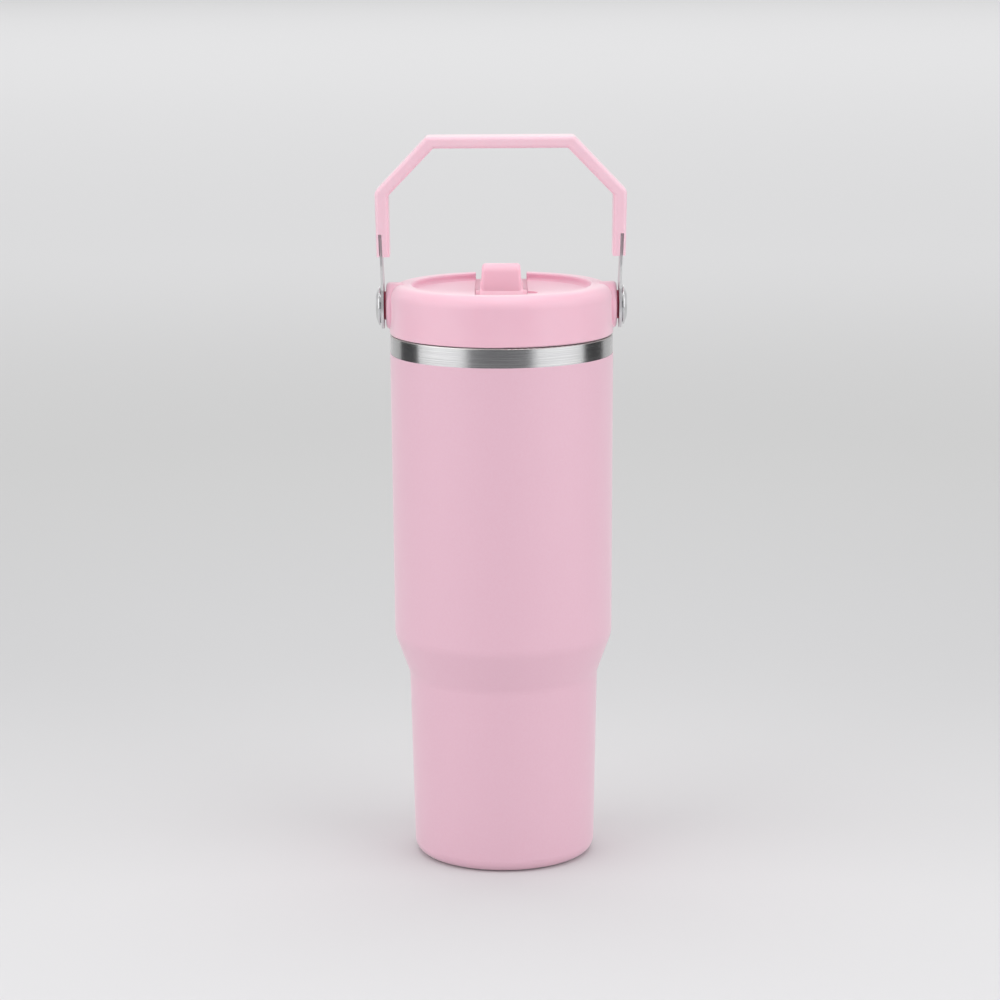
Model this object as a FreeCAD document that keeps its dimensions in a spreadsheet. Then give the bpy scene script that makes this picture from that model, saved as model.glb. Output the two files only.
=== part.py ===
import FreeCAD, Part
import math
import os
import re
import Sketcher

# Insulated tumbler with a screw lid, a flip spout with a straw, and a bail handle.
# Millimetres.  Z is up and z = 0 is the ground; the tumbler stands on its foot ring.
# X runs through the two handle pivots.  The spout is folded back towards +Y.

doc = FreeCAD.newDocument("tumbler")

# ---------------------------------------------------------------- driving dimensions
SIZES = {
    # double-walled vessel: outer shell
    "mouth_height": 216.25, "shell_radius": 44.95, "shell_wall": 0.6, "coat_step": 0.15,
    "band_height": 7.75, "upper_taper": 0.45, "shoulder_height": 92.6,
    "shoulder_round": 10.0, "shoulder_step": 5.95, "waist_height": 76.2,
    "waist_round": 8.0, "lower_taper": 1.6, "foot_round": 5.0, "foot_ring_width": 7.0,
    # inner liner
    "vacuum_gap": 2.2, "liner_wall": 0.5, "liner_floor": 8.5, "liner_round": 7.0,
    "lip_round": 0.9, "lip_outer_round": 0.4, "seam_rise": 6.0,
    # base of the vacuum space
    "base_rise": 2.4, "base_plate_wall": 0.6, "base_plate_under_round": 0.5,
    "base_plate_top_round": 1.0, "dimple_radius": 4.0, "dimple_depth": 1.5,
    "port_radius": 1.1, "seal_bead_radius": 2.2, "seal_bead_height": 0.9,
    "seal_bead_round": 0.5, "base_cover_rise": 1.0, "base_cover_wall": 0.5,
    "base_cover_gap": 0.8, "base_cover_round": 0.3,
    "getter_offset": 16.0, "getter_radius": 5.5, "getter_cup_wall": 0.3,
    "getter_cup_height": 2.2,
    # screw thread between plug and liner
    "thread_lead": 8.0, "thread_turns": 0.58, "thread_drop": 15.2, "thread_depth": 1.25,
    "thread_root_width": 2.2, "thread_crest_width": 1.0, "thread_overlap": 0.85,
    # lid: upper moulding
    "lid_gap": 0.25, "lid_height": 19.9, "lid_round": 5.0,
    "lid_wall": 2.4, "lid_top_wall": 2.2, "rim_width": 9.06, "rim_edge_round": 0.9,
    "deck_depth": 2.9, "deck_round": 1.2, "lid_foot_round": 0.6, "lid_inner_round": 1.5,
    # lid: channel and well for the spout
    "spout_side_gap": 1.9, "channel_depth": 3.6, "channel_edge_round": 0.45,
    "well_wall": 2.0, "wall_bite": 0.4,
    "well_clearance": 0.7, "hinge_relief_radius": 4.2, "hinge_relief_depth": 0.7,
    "hinge_relief_setback": 7.0,
    # lid: plug, gasket
    "plug_depth": 21.0, "plug_gap": 0.5, "plug_wall": 2.75, "plug_floor": 2.0,
    "plug_flange": 1.4, "plug_round": 1.5, "gasket_drop": 1.95, "gasket_height": 4.2,
    "gasket_width": 2.5, "gasket_gap": 0.15, "groove_gap": 0.1, "collar_edge": 1.0,
    "collar_slope": 1.0,
    # stem, straw and vent
    "stem_wall": 1.5, "stem_drop": 5.0, "stem_socket": 11.0, "straw_radius": 4.1,
    "straw_wall": 1.0, "straw_floor_gap": 4.0, "straw_bevel": 5.0,
    "vent_setback": 20.0, "vent_tube_radius": 3.0, "stem_web_half": 1.0,
    "stem_web_height": 6.0, "vent_bore_radius": 1.2, "vent_cap_radius": 3.2,
    "vent_cap_seat": 0.8, "vent_cap_gap": 0.25, "vent_cap_round": 0.3,
    "vent_stalk": 6.0, "vent_stalk_gap": 0.1,
    # spout
    "hinge_drop": 7.6, "spout_width": 17.2, "spout_draft": 1.0, "barrel_radius": 8.6,
    "face_setback": 6.8, "crown_rise": 9.0, "crown_round": 3.2, "tip_setback": 0.9, "tip_rise": 2.4,
    "tip_round": 2.0, "spout_floor_gap": 0.5, "spout_edge_round": 1.4, "flow_radius": 2.3,
    "spout_heel": 3.0, "spout_heel_end": 0.5, "spout_heel_round": 1.5, "flow_bend": 5.0,
    "flow_knee_reach": 10.0, "flow_knee_rise": 7.9, "flow_knee_bend": 8.0,
    "flow_tip_rise": 7.3,
    "trunnion_radius": 3.0, "trunnion_collar_radius": 5.0, "trunnion_play": 0.15,
    "running_gap": 0.05, "spout_seal_radius": 5.0, "spout_seal_height": 2.4,
    "spout_seal_gap": 0.3, "spout_seal_bore": 2.5,
    # handle pivots
    "pivot_drop": 8.75, "ear_radius": 9.4, "ear_proud": 1.3, "ear_depth": 6.9,
    "ear_round": 1.6, "insert_wall": 0.5, "insert_length": 5.0, "insert_groove": 0.4,
    "shank_radius": 1.75, "shank_end_gap": 0.4, "shoulder_pin_radius": 2.5,
    "spacer_radius": 5.7, "spacer_width": 0.8, "spacer_round": 0.2, "pivot_play": 0.05,
    "cup_washer_radius": 7.1, "cup_washer_width": 0.45, "cup_washer_round": 0.15,
    "dome_radius": 8.0, "dome_height": 1.8, "dome_rim": 0.6, "dome_under_round": 0.2,
    "dome_rim_round": 0.3, "dome_crown_inset": 3.2, "dome_crown_round": 4.0,
    # handle arms and grip, measured from the pivot axis
    "arm_thickness": 1.0, "eye_radius": 9.3, "strip_width": 11.0, "arm_lean": 0.95,
    "arm_lean_start": 8.85, "arm_reach": 36.35, "arm_neck_reach": 17.0,
    "eye_flat": 0.05, "arm_waist_reach": 6.85, "arm_waist_round": 4.0,
    "arm_neck_round": 6.0, "arm_end_round": 1.5,
    "grip_reach": 68.15, "bar_thickness": 4.7, "knee_drop": 21.9, "knee_inner_drop": 18.8,
    "corner_inset": 20.9, "corner_inner_inset": 18.2, "leg_foot_reach": 20.35,
    "leg_outer_cheek": 2.6, "leg_inner_cheek": 2.55, "leg_lean": 0.55,
    "leg_inner_lean": 0.3, "grip_depth": 15.0, "grip_round": 1.6,
    "corner_round": 3.0, "leg_slot_reach": 29.45, "leg_slot_gap": 0.15,
    # how far a cutting tool runs past the face that it opens
    "overrun": 1.0,
}
THREAD_STARTS = 2
SAME_PLACE = 0.01  # millimetres

sheet = doc.addObject("Spreadsheet::Sheet", "Sizes")
for row, (name, value) in enumerate(SIZES.items(), 1):
    sheet.set(f"A{row}", name.replace("_", " "))
    sheet.set(f"B{row}", str(value))
    sheet.setAlias(f"B{row}", name)
doc.recompute()

# Sizes that follow from the driving ones, as formulas.
BAND_BOTTOM = "(mouth_height - band_height)"
COAT_RADIUS = "(shell_radius + coat_step)"
SHOULDER_RADIUS = "(shell_radius - upper_taper)"
WAIST_RADIUS = f"({SHOULDER_RADIUS} - shoulder_step)"
FOOT_RADIUS = f"({WAIST_RADIUS} - lower_taper)"
RING_INNER = f"({FOOT_RADIUS} - foot_ring_width)"
WALL_STACK = "(shell_wall + vacuum_gap + liner_wall)"
BORE = f"(shell_radius - {WALL_STACK})"
SEAM = "(shoulder_height + seam_rise)"
SEAM_TAPER = f"(upper_taper * ({BAND_BOTTOM} - {SEAM}) / ({BAND_BOTTOM} - shoulder_height))"
SEAM_RADIUS = f"(shell_radius - {SEAM_TAPER})"
LID_BOTTOM = "(mouth_height + lid_gap)"
LID_TOP = f"({LID_BOTTOM} + lid_height)"
LID_RADIUS = COAT_RADIUS
SKIN_INNER = f"({LID_RADIUS} - lid_wall)"
RIM_INNER = f"({LID_RADIUS} - rim_width)"
COLLAR_RADIUS = f"({BORE} - plug_gap)"
LINER_RIDGE = f"({BORE} - thread_depth)"
PLUG_RIDGE = f"({LINER_RIDGE} + thread_overlap)"
PLUG_ROOT = f"({PLUG_RIDGE} - thread_depth)"
PLUG_INNER = f"({PLUG_ROOT} - plug_wall)"
GASKET_OUTER = f"({BORE} - gasket_gap)"
GASKET_INNER = f"({GASKET_OUTER} - gasket_width)"
GROOVE_TOP = "(0 - gasket_drop)"
GROOVE_BOTTOM = "(0 - gasket_drop - gasket_height - 2 * groove_gap)"
HINGE_HEIGHT = f"({LID_TOP} - hinge_drop)"
HINGE_IN_LID = "(lid_height - hinge_drop)"
WELL_FLOOR = f"({HINGE_IN_LID} - barrel_radius - spout_seal_height)"
CHANNEL_FLOOR = "(lid_height - channel_depth)"
DECK = "(lid_height - deck_depth)"
UNDER_DECK = f"({DECK} - lid_top_wall)"
WELL_UNDER = f"({WELL_FLOOR} - well_wall)"
SWING_REACH = "sqrt(face_setback * face_setback + (hinge_drop + crown_rise)^2)"
WELL_FRONT = f"(0 - {SWING_REACH} - well_clearance)"
WELL_BACK = "(barrel_radius + well_clearance)"
CHANNEL_HALF = "(spout_width / 2 + spout_side_gap)"
WELL_OUTER = f"({CHANNEL_HALF} + well_wall)"
TIP_REACH = f"({LID_RADIUS} - tip_setback)"
STEM_RADIUS = "(straw_radius + stem_wall)"
STEM_BOTTOM = "(0 - plug_depth - stem_drop)"
PIVOT_HEIGHT = f"({LID_TOP} - pivot_drop)"
PIVOT_IN_LID = "(lid_height - pivot_drop)"
EAR_FACE = f"({LID_RADIUS} + ear_proud)"
ARM_FACE = f"({EAR_FACE} + spacer_width + pivot_play)"
CUP_FACE = f"({ARM_FACE} + arm_thickness + pivot_play)"
DOME_FACE = f"({CUP_FACE} + cup_washer_width)"
INSERT_RADIUS = "(shoulder_pin_radius + insert_wall)"
LEG_OUTER = f"({ARM_FACE} + leg_outer_cheek)"
LEG_INNER = f"({ARM_FACE} - leg_inner_cheek)"
KNEE_OUTER = f"({LEG_OUTER} + leg_lean)"
KNEE_INNER = f"({LEG_INNER} + leg_inner_lean)"


# ---------------------------------------------------------------- helpers
def on_sheet(formula):
    """A formula whose size names point at the sheet's cells."""
    return re.sub(r"[a-z_]+", lambda found: f"Sizes.{found[0]}" if found[0] in SIZES else found[0],
                  str(formula))


def size(formula):
    return float(sheet.evalExpression(on_sheet(formula)))


def bind(thing, place, formula):
    thing.setExpression(place, on_sheet(formula))


def new_body(label, height=None):
    """A body named for its piece, raised so that its own origin lies at height."""
    body = doc.addObject("PartDesign::Body", label)
    body.Label = label
    if height is not None:
        bind(body, "Placement.Base.z", height)
    return body


def new_sketch(body, plane, shift=None):
    """A sketch on one of the body's origin planes, moved by shift along its normal."""
    sketch = body.newObject("Sketcher::SketchObject", "outline")
    support = [item for item in body.Origin.OriginFeatures if item.Role == plane]
    sketch.AttachmentSupport = [(support[0], "")]
    sketch.MapMode = "FlatFace"
    if shift is not None:
        bind(sketch, "AttachmentOffset.Base.z", shift)
    return sketch


def hold(sketch, item, end, x, y):
    """Pin one point of the sketch at x, y; a plain 0 puts it on that axis."""
    for formula, kind, axis in ((x, "DistanceX", -2), (y, "DistanceY", -1)):
        if str(formula) == "0":
            sketch.addConstraint(Sketcher.Constraint("PointOnObject", item, end, axis))
        else:
            pin = Sketcher.Constraint(kind, -1, 1, item, end, size(formula))
            bind(sketch, f"Constraints[{sketch.addConstraint(pin)}]", formula)


def draw(sketch, corners, closed=True):
    """Straight sides from corner to corner; a corner's third value rounds it."""
    spots = [FreeCAD.Vector(size(c[0]), size(c[1]), 0) for c in corners]
    count = len(spots)
    rounds = {}
    for i, corner in enumerate(corners):
        if len(corner) < 3:
            continue
        back = (spots[i - 1] - spots[i]).normalize()
        ahead = (spots[(i + 1) % count] - spots[i]).normalize()
        half = back.getAngle(ahead) / 2
        radius = size(corner[2])
        middle = spots[i] + (back + ahead).normalize() * (radius / math.sin(half))
        run = radius / math.tan(half)
        rounds[i] = (spots[i] + back * run, spots[i] + ahead * run, middle, radius)
    sides = count if closed else count - 1
    lines = []
    for i in range(sides):
        after = (i + 1) % count
        start = rounds[i][1] if i in rounds else spots[i]
        end = rounds[after][0] if after in rounds else spots[after]
        lines.append(sketch.addGeometry(Part.LineSegment(start, end)))
    for i, corner in enumerate(corners):
        before, after = lines[i - 1], lines[i % sides]
        if i not in rounds:
            ends = [(after, 1), (before, 2)]
            if not closed and i == 0:
                ends = [(after, 1)]
            if not closed and i == count - 1:
                ends = [(lines[-1], 2)]
            if len(ends) == 2:
                sketch.addConstraint(Sketcher.Constraint("Coincident", before, 2, after, 1))
            hold(sketch, *ends[0], corner[0], corner[1])
            continue
        first, last, middle, radius = rounds[i]
        turn = (first - middle).cross(last - middle).z
        ring = Part.Circle(middle, FreeCAD.Vector(0, 0, 1), radius)
        angles = [math.atan2(p.y - middle.y, p.x - middle.x) for p in (first, last)]
        if turn < 0:
            angles.reverse()
        arc = sketch.addGeometry(Part.ArcOfCircle(ring, *angles))
        first_end, last_end = (1, 2) if turn > 0 else (2, 1)
        sketch.addConstraint(Sketcher.Constraint("Tangent", before, 2, arc, first_end))
        sketch.addConstraint(Sketcher.Constraint("Tangent", after, 1, arc, last_end))
        pin = sketch.addConstraint(Sketcher.Constraint("Radius", arc, radius))
        bind(sketch, f"Constraints[{pin}]", corner[2])
        mark = sketch.addGeometry(Part.Point(spots[i]), True)
        sketch.addConstraint(Sketcher.Constraint("PointOnObject", mark, 1, before))
        sketch.addConstraint(Sketcher.Constraint("PointOnObject", mark, 1, after))
        hold(sketch, mark, 1, corner[0], corner[1])


def outline(body, plane, corners, shift=None):
    sketch = new_sketch(body, plane, shift)
    draw(sketch, corners)
    return sketch


def circle(body, plane, x, y, radius, shift=None):
    sketch = new_sketch(body, plane, shift)
    ring = Part.Circle(FreeCAD.Vector(size(x), size(y), 0), FreeCAD.Vector(0, 0, 1),
                       size(radius))
    item = sketch.addGeometry(ring)
    pin = sketch.addConstraint(Sketcher.Constraint("Radius", item, size(radius)))
    bind(sketch, f"Constraints[{pin}]", radius)
    hold(sketch, item, 3, x, y)
    return sketch


def revolve(body, corners, axis="V_Axis"):
    """Turn an outline of radius and height about Z, or along X about X."""
    feature = body.newObject("PartDesign::Revolution", "turned")
    feature.Profile = outline(body, "XZ_Plane", corners)
    feature.ReferenceAxis = (feature.Profile[0], [axis])
    feature.Angle = 360
    return feature


def between(plane, low, high, cut):
    """Where the sketch of a prism from low to high lies: pads run with the plane's
    normal and pockets against it, and the XZ plane's normal is -Y."""
    if plane == "XZ_Plane":
        return f"0 - ({low if cut else high})"
    return high if cut else low


def prism(body, plane, low, high, corners=None, ring=None, cut=False):
    """A pad or pocket from low to high along the plane's axis."""
    shift = between(plane, low, high, cut)
    if ring:
        sketch = circle(body, plane, *ring, shift=shift)
    else:
        sketch = outline(body, plane, corners, shift=shift)
    kind = "Pocket" if cut else "Pad"
    feature = body.newObject(f"PartDesign::{kind}", kind.lower())
    feature.Profile = sketch
    bind(feature, "Length", f"({high}) - ({low})")
    return feature


def box(width, low, high):
    """Corners of a rectangle centred on the first axis, or between two values of it."""
    left, right = width if isinstance(width, tuple) else (f"0 - {width}", width)
    return [(left, low), (right, low), (right, high), (left, high)]


def round_edges(body, radius, wanted):
    """Fillet the edges for which wanted(edge) is true."""
    doc.recompute()
    base = body.Tip
    names = [f"Edge{i}" for i, edge in enumerate(base.Shape.Edges, 1) if wanted(edge)]
    feature = body.newObject("PartDesign::Fillet", "rounding")
    feature.Base = (base, names)
    bind(feature, "Radius", radius)
    return feature


def thread(body, root, crest, start_height):
    """Right-hand thread ridges of trapezoid section, from root radius to crest radius."""
    sketch = new_sketch(body, "XZ_Plane")
    half_root, half_crest = "thread_root_width / 2", "thread_crest_width / 2"
    draw(sketch, [(root, f"{start_height} - {half_root}"),
                  (root, f"{start_height} + {half_root}"),
                  (crest, f"{start_height} + {half_crest}"),
                  (crest, f"{start_height} - {half_crest}")])
    feature = body.newObject("PartDesign::AdditiveHelix", "thread_ridge")
    feature.Profile = sketch
    feature.ReferenceAxis = (sketch, ["V_Axis"])
    feature.Mode = "pitch-turns-angle"
    bind(feature, "Pitch", "thread_lead")
    bind(feature, "Turns", "thread_turns")
    feature.LeftHanded = False
    copies = body.newObject("PartDesign::PolarPattern", "thread_starts")
    copies.Originals = [feature]
    copies.Axis = ([f for f in body.Origin.OriginFeatures if f.Role == "Z_Axis"][0], [""])
    copies.Angle = 360
    copies.Occurrences = THREAD_STARTS
    body.Tip = copies
    return copies


# ---------------------------------------------------------------- vessel
def outer_shell():
    """Steel outer wall.  The coat starts below the bare band at the mouth."""
    body = new_body("outer_shell")
    top = "mouth_height - liner_wall"
    inner = "({} - shell_wall)"
    revolve(body, [
        ("shell_radius", top),
        ("shell_radius", BAND_BOTTOM),
        (COAT_RADIUS, BAND_BOTTOM),
        (SHOULDER_RADIUS, "shoulder_height", "shoulder_round"),
        (WAIST_RADIUS, "waist_height", "waist_round"),
        (FOOT_RADIUS, "0", "foot_round"),
        (RING_INNER, "0"),
        (RING_INNER, "shell_wall"),
        (inner.format(FOOT_RADIUS), "shell_wall", "foot_round - shell_wall"),
        (inner.format(WAIST_RADIUS), "waist_height", "waist_round + shell_wall"),
        (inner.format(SHOULDER_RADIUS), "shoulder_height", "shoulder_round - shell_wall"),
        (inner.format("shell_radius"), BAND_BOTTOM),
        (inner.format("shell_radius"), top),
    ])
    return body


LINER_OUTER = "({} - shell_wall - vacuum_gap)"
LINER_INNER = f"({{}} - {WALL_STACK})"


def inner_liner():
    """Steel inner tube with a rolled lip, welded to the shell, and the neck's thread."""
    body = new_body("inner_liner")
    under = "mouth_height - liner_wall"
    revolve(body, [
        (LINER_INNER.format(SEAM_RADIUS), SEAM),
        (BORE, BAND_BOTTOM),
        (BORE, "mouth_height", "lip_round"),
        ("shell_radius", "mouth_height", "lip_outer_round"),
        ("shell_radius", under),
        (LINER_OUTER.format("shell_radius"), under),
        (LINER_OUTER.format("shell_radius"), BAND_BOTTOM),
        (LINER_OUTER.format(SEAM_RADIUS), SEAM),
    ])
    thread(body, f"{BORE} + liner_wall / 2", LINER_RIDGE, "mouth_height - thread_drop")
    return body


def liner_cup():
    """Drawn steel cup, welded under the inner tube: shoulder, narrow foot and floor."""
    body = new_body("liner_cup")
    revolve(body, [
        ("0", "liner_floor"),
        (LINER_INNER.format(FOOT_RADIUS), "liner_floor", "liner_round"),
        (LINER_INNER.format(WAIST_RADIUS), "waist_height", "waist_round"),
        (LINER_INNER.format(SHOULDER_RADIUS), "shoulder_height", "shoulder_round"),
        (LINER_INNER.format(SEAM_RADIUS), SEAM),
        (LINER_OUTER.format(SEAM_RADIUS), SEAM),
        (LINER_OUTER.format(SHOULDER_RADIUS), "shoulder_height", "shoulder_round"),
        (LINER_OUTER.format(WAIST_RADIUS), "waist_height", "waist_round"),
        (LINER_OUTER.format(FOOT_RADIUS), "liner_floor - liner_wall",
         "liner_round + liner_wall"),
        ("0", "liner_floor - liner_wall"),
    ])
    return body


def base_plate():
    """Stamped disc that closes the vacuum space, with the dimpled evacuation port."""
    body = new_body("base_plate")
    edge = RING_INNER
    top = "(base_rise + base_plate_wall)"
    dimple = "(base_rise + dimple_depth)"
    revolve(body, [
        ("port_radius", dimple),
        ("dimple_radius - dimple_depth", dimple),
        ("dimple_radius", "base_rise"),
        (f"{edge} - base_plate_wall", "base_rise", "base_plate_under_round"),
        (f"{edge} - base_plate_wall", "shell_wall / 2"),
        (edge, "shell_wall / 2"),
        (edge, top, "base_plate_top_round"),
        ("dimple_radius + base_plate_wall", top),
        ("dimple_radius - dimple_depth + base_plate_wall", f"{dimple} + base_plate_wall"),
        ("port_radius", f"{dimple} + base_plate_wall"),
    ])
    return body


def vacuum_seal():
    """Bead of solder glass melted into the dimple over the port."""
    body = new_body("vacuum_seal")
    dimple = "(base_rise + dimple_depth)"
    revolve(body, [
        ("0", f"{dimple} - seal_bead_height"),
        ("seal_bead_radius", f"{dimple} - seal_bead_height", "seal_bead_round"),
        ("seal_bead_radius", dimple),
        ("port_radius", dimple),
        ("port_radius", f"{dimple} + base_plate_wall / 2"),
        ("0", f"{dimple} + base_plate_wall / 2"),
    ])
    return body


def base_cover():
    """Thin disc glued over the port, set inside the foot ring."""
    body = new_body("base_cover")
    edge = f"({RING_INNER} - base_plate_wall - base_cover_gap)"
    top = "(base_cover_rise + base_cover_wall)"
    revolve(body, [
        ("0", "base_cover_rise"),
        (edge, "base_cover_rise", "base_cover_round"),
        (edge, "base_rise"),
        (f"{edge} - base_cover_wall", "base_rise"),
        (f"{edge} - base_cover_wall", top),
        ("0", top),
    ])
    return body


def getter_cup():
    """Small steel cup, spot-welded inside the base plate, that holds the getter."""
    body = new_body("getter_cup", "base_rise + base_plate_wall")
    bind(body, "Placement.Base.x", "getter_offset")
    wall = "getter_cup_wall"
    revolve(body, [
        ("0", "0"),
        (f"getter_radius + {wall}", "0"),
        (f"getter_radius + {wall}", "getter_cup_height"),
        ("getter_radius", "getter_cup_height"),
        ("getter_radius", wall),
        ("0", wall),
    ])
    return body


def getter():
    """Pressed gas-getter pill in its cup."""
    body = new_body("getter", "base_rise + base_plate_wall + getter_cup_wall")
    bind(body, "Placement.Base.x", "getter_offset")
    height = "(getter_cup_height - 2 * getter_cup_wall)"
    revolve(body, [
        ("0", "0"), ("getter_radius", "0"),
        ("getter_radius", height, "getter_cup_wall"), ("0", height),
    ])
    return body


# ---------------------------------------------------------------- lid
def lid_cover():
    """Upper moulding: wall, rim, recessed deck, spout channel and well, and ears.
    Its own origin is at the lid's bottom edge."""
    body = new_body("lid_cover", LID_BOTTOM)
    under_rim = "(lid_height - lid_top_wall)"
    curb = f"({RIM_INNER} + lid_top_wall)"
    revolve(body, [
        ("0", UNDER_DECK),
        (curb, UNDER_DECK),
        (curb, under_rim),
        (SKIN_INNER, under_rim, "lid_inner_round"),
        (SKIN_INNER, "0"),
        (LID_RADIUS, "0", "lid_foot_round"),
        (LID_RADIUS, "lid_height", "lid_round"),
        (RIM_INNER, "lid_height", "rim_edge_round"),
        (RIM_INNER, DECK, "deck_round"),
        ("0", DECK),
    ])
    # walls of the well, and of the channel where it crosses the hollow rim
    prism(body, "XY_Plane", WELL_UNDER, DECK,
          corners=box(WELL_OUTER, f"{WELL_FRONT} - well_wall", f"{WELL_BACK} + well_wall"))
    prism(body, "XY_Plane", f"{CHANNEL_FLOOR} - well_wall", "lid_height - lid_top_wall / 2",
          corners=box(WELL_OUTER, f"{RIM_INNER} - well_wall", f"{SKIN_INNER} + wall_bite"))
    # ears, rounded on their outer edge
    for sign in (1, -1):
        ends = (f"{EAR_FACE} - ear_depth", EAR_FACE)
        if sign < 0:
            ends = (f"0 - {EAR_FACE}", f"ear_depth - {EAR_FACE}")
        prism(body, "YZ_Plane", *ends, ring=("0", PIVOT_IN_LID, "ear_radius"))
        face = sign * size(EAR_FACE)
        round_edges(body, "ear_round", lambda edge: isinstance(edge.Curve, Part.Circle)
                    and abs(edge.Curve.Center.x - face) < SAME_PLACE)
    # channel across the deck and out through the rim, and the well under the hinge
    prism(body, "XY_Plane", CHANNEL_FLOOR, "lid_height + overrun",
          corners=box(CHANNEL_HALF, WELL_FRONT, f"{LID_RADIUS} + overrun"), cut=True)
    half, front, deck = size(CHANNEL_HALF), size(WELL_FRONT), size(DECK)
    round_edges(body, "channel_edge_round",
                lambda edge: edge.CenterOfMass.z > deck - SAME_PLACE
                and (all(abs(abs(v.X) - half) < SAME_PLACE for v in edge.Vertexes)
                     or all(abs(v.Y - front) < SAME_PLACE for v in edge.Vertexes)))
    prism(body, "XY_Plane", WELL_FLOOR, "lid_height + overrun",
          corners=box(CHANNEL_HALF, WELL_FRONT, WELL_BACK), cut=True)
    prism(body, "YZ_Plane", f"0 - {WELL_OUTER} - overrun", f"{WELL_OUTER} + overrun",
          ring=("0", HINGE_IN_LID, "trunnion_radius + running_gap"), cut=True)
    prism(body, "XY_Plane", f"{DECK} - hinge_relief_depth", "lid_height",
          ring=(CHANNEL_HALF, "0 - hinge_relief_setback", "hinge_relief_radius"),
          cut=True)
    # holes for the drink and for the vent, and the vent cap's seat
    prism(body, "XY_Plane", f"{WELL_UNDER} - overrun", f"{WELL_FLOOR} + overrun",
          ring=("0", "0", "spout_seal_bore"), cut=True)
    prism(body, "XY_Plane", f"{UNDER_DECK} - overrun", "lid_height",
          ring=("0", "vent_setback", "vent_bore_radius"), cut=True)
    prism(body, "XY_Plane", f"{CHANNEL_FLOOR} - vent_cap_seat", "lid_height",
          ring=("0", "vent_setback", "vent_cap_radius"), cut=True)
    # sockets for the threaded inserts in the ears
    prism(body, "YZ_Plane", f"{EAR_FACE} - insert_length", f"{EAR_FACE} + overrun",
          ring=("0", PIVOT_IN_LID, INSERT_RADIUS), cut=True)
    prism(body, "YZ_Plane", f"0 - {EAR_FACE} - overrun", f"insert_length - {EAR_FACE}",
          ring=("0", PIVOT_IN_LID, INSERT_RADIUS), cut=True)
    return body


def lid_plug():
    """Lower moulding, welded into the cover: flange, gasket groove, thread and floor."""
    body = new_body("lid_plug", LID_BOTTOM)
    seat = f"({GASKET_INNER} - groove_gap)"
    revolve(body, [
        (PLUG_INNER, "plug_floor - plug_depth", "plug_round"),
        (PLUG_INNER, "plug_flange"),
        (SKIN_INNER, "plug_flange"),
        (SKIN_INNER, "0"),
        (COLLAR_RADIUS, "0"),
        (COLLAR_RADIUS, GROOVE_TOP),
        (seat, GROOVE_TOP),
        (seat, GROOVE_BOTTOM),
        (COLLAR_RADIUS, GROOVE_BOTTOM),
        (COLLAR_RADIUS, f"{GROOVE_BOTTOM} - collar_edge"),
        (PLUG_ROOT, f"{GROOVE_BOTTOM} - collar_edge - collar_slope"),
        (PLUG_ROOT, "0 - plug_depth", "plug_round"),
        (STEM_RADIUS, "0 - plug_depth"),
        (STEM_RADIUS, "plug_floor - plug_depth"),
    ])
    prism(body, "XY_Plane", "0 - plug_depth - overrun", "plug_floor - plug_depth + overrun",
          ring=("0", "vent_setback", "vent_tube_radius"), cut=True)
    half_pitch = f"thread_lead / {2 * THREAD_STARTS}"
    thread(body, f"{PLUG_ROOT} - plug_wall / 4", PLUG_RIDGE,
           f"0 - thread_drop - lid_gap - {half_pitch}")
    return body


def straw_stem():
    """Moulded tubes for the straw and the vent, joined by a web and welded under the
    cover.  They pass through the plug's floor."""
    body = new_body("straw_stem", LID_BOTTOM)
    plug_inside = "(plug_floor - plug_depth)"
    prism(body, "XY_Plane", STEM_BOTTOM, WELL_UNDER, ring=("0", "0", STEM_RADIUS))
    prism(body, "XY_Plane", plug_inside, f"{plug_inside} + stem_web_height",
          corners=box("stem_web_half", "0", "vent_setback"))
    prism(body, "XY_Plane", "0 - plug_depth", UNDER_DECK,
          ring=("0", "vent_setback", "vent_tube_radius"))
    prism(body, "XY_Plane", f"{STEM_BOTTOM} - overrun", f"{WELL_UNDER} + overrun",
          ring=("0", "0", "spout_seal_bore"), cut=True)
    prism(body, "XY_Plane", f"{STEM_BOTTOM} - overrun", f"{STEM_BOTTOM} + stem_socket",
          ring=("0", "0", "straw_radius"), cut=True)
    prism(body, "XY_Plane", "0 - plug_depth - overrun", f"{UNDER_DECK} + overrun",
          ring=("0", "vent_setback", "vent_bore_radius"), cut=True)
    return body


def lid_gasket():
    """Silicone ring in the plug's groove, with two lips towards the neck's wall."""
    body = new_body("lid_gasket", LID_BOTTOM)
    low = f"({GROOVE_BOTTOM} + groove_gap)"
    waist = f"({GASKET_OUTER} - gasket_width / 4)"
    step = "gasket_height / 5"
    revolve(body, [
        (GASKET_INNER, low),
        (waist, low),
        (GASKET_OUTER, f"{low} + {step} / 2"),
        (GASKET_OUTER, f"{low} + {step} * 1.5"),
        (waist, f"{low} + {step} * 2"),
        (waist, f"{low} + {step} * 3"),
        (GASKET_OUTER, f"{low} + {step} * 3.5"),
        (GASKET_OUTER, f"{low} + {step} * 4.5"),
        (waist, f"{low} + {step} * 5"),
        (GASKET_INNER, f"{low} + {step} * 5"),
    ])
    return body


def vent_cap():
    """Silicone cap over the vent bore, with a stalk that holds it."""
    body = new_body("vent_cap", LID_BOTTOM)
    bind(body, "Placement.Base.y", "vent_setback")
    seat = f"({CHANNEL_FLOOR} - vent_cap_seat)"
    top = f"({CHANNEL_FLOOR} + spout_floor_gap - vent_cap_gap)"
    revolve(body, [
        ("0", f"{seat} - vent_stalk"),
        ("vent_bore_radius - vent_stalk_gap", f"{seat} - vent_stalk"),
        ("vent_bore_radius - vent_stalk_gap", seat),
        ("vent_cap_radius", seat),
        ("vent_cap_radius", top, "vent_cap_round"),
        ("0", top),
    ])
    return body


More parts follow.
